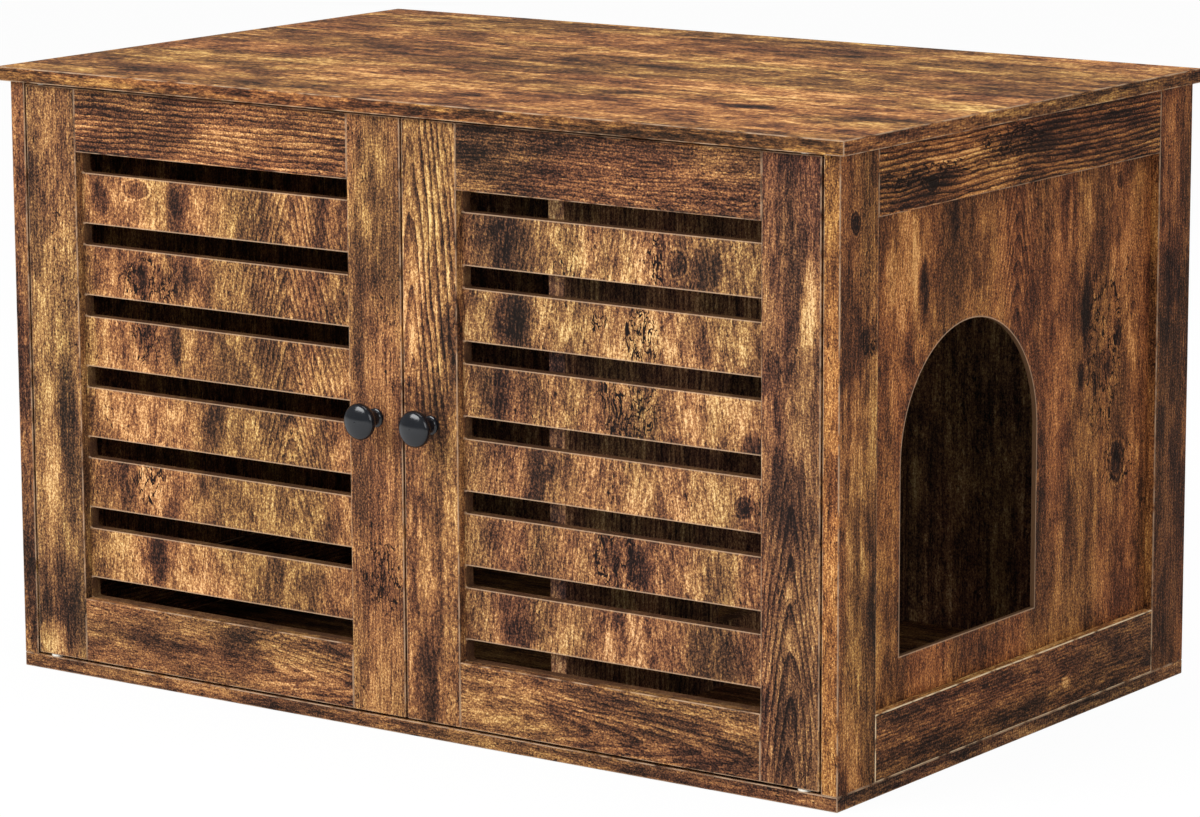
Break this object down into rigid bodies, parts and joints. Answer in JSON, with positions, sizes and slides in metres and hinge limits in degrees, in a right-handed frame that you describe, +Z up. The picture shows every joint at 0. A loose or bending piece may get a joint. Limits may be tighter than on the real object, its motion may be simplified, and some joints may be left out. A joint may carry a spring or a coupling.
{
  "type": "cat litter box cabinet",
  "caption": "Low wooden cabinet that hides a litter tray: framed front doors with level slots, an arched side entrance and an inner divider with a passage.",
  "frame": {"origin": "centre of the base board's underside, which stands on the floor", "axes": "+X to the right side with the arched entrance, seen from the front; +Y to the back; +Z up; the doors face -Y"},
  "size_m": [0.85, 0.57, 0.52],
  "materials": {
    "printed_board": "satin printed wood grain",
    "thin_board": "satin printed wood grain",
    "back_board": "satin printed wood grain",
    "dowel_wood": "plain sanded",
    "knob_black": "satin black paint",
    "bright_steel": "zinc plated",
    "cam_zinc": "cast zinc",
    "bush_plastic": "natural nylon",
    "catch_plastic": "dark brown plastic",
    "magnet_ferrite": "dark grey ceramic"
  },
  "bodies": {
    "carcass": {"top_board": "printed_board", "bottom_board": "printed_board", "left_front_post": "printed_board", "left_back_post": "printed_board", "left_bottom_rail": "printed_board", "left_top_rail": "printed_board", "right_front_post": "printed_board", "right_back_post": "printed_board", "right_bottom_rail": "printed_board", "right_top_rail": "printed_board", "left_panel": "thin_board", "arch_panel": "thin_board", "back_panel": "back_board", "divider": "printed_board", "frame_dowels": "dowel_wood", "top_dowels": "dowel_wood", "cam_discs": "cam_zinc", "cam_bolts": "bright_steel", "base_screws": "bright_steel", "pivot_bushes": "bush_plastic", "catch_housings": "catch_plastic", "catch_poles": "bright_steel", "catch_magnets": "magnet_ferrite", "catch_screws": "bright_steel"},
    "left_door": {"left_hinge_stile": "printed_board", "left_meeting_stile": "printed_board", "left_door_bottom_rail": "printed_board", "left_door_top_rail": "printed_board", "left_slotted_panel": "printed_board", "left_knob": "knob_black", "left_knob_screw": "bright_steel", "left_door_pins": "bright_steel", "left_door_dowels": "dowel_wood", "left_panel_screws": "bright_steel", "left_strike_plate": "bright_steel", "left_strike_screw": "bright_steel"},
    "right_door": {"right_hinge_stile": "printed_board", "right_meeting_stile": "printed_board", "right_door_bottom_rail": "printed_board", "right_door_top_rail": "printed_board", "right_slotted_panel": "printed_board", "right_knob": "knob_black", "right_knob_screw": "bright_steel", "right_door_pins": "bright_steel", "right_door_dowels": "dowel_wood", "right_panel_screws": "bright_steel", "right_strike_plate": "bright_steel", "right_strike_screw": "bright_steel"}
  },
  "joints": [
    {"name": "left_door_hinge", "type": "hinge", "parent": "carcass", "child": "left_door", "pos_m": [-0.384, -0.264, 0.26], "axis": [0, 0, -1], "range_deg": [0, 110]},
    {"name": "right_door_hinge", "type": "hinge", "parent": "carcass", "child": "right_door", "pos_m": [0.384, -0.264, 0.26], "axis": [0, 0, 1], "range_deg": [0, 110]}
  ]
}
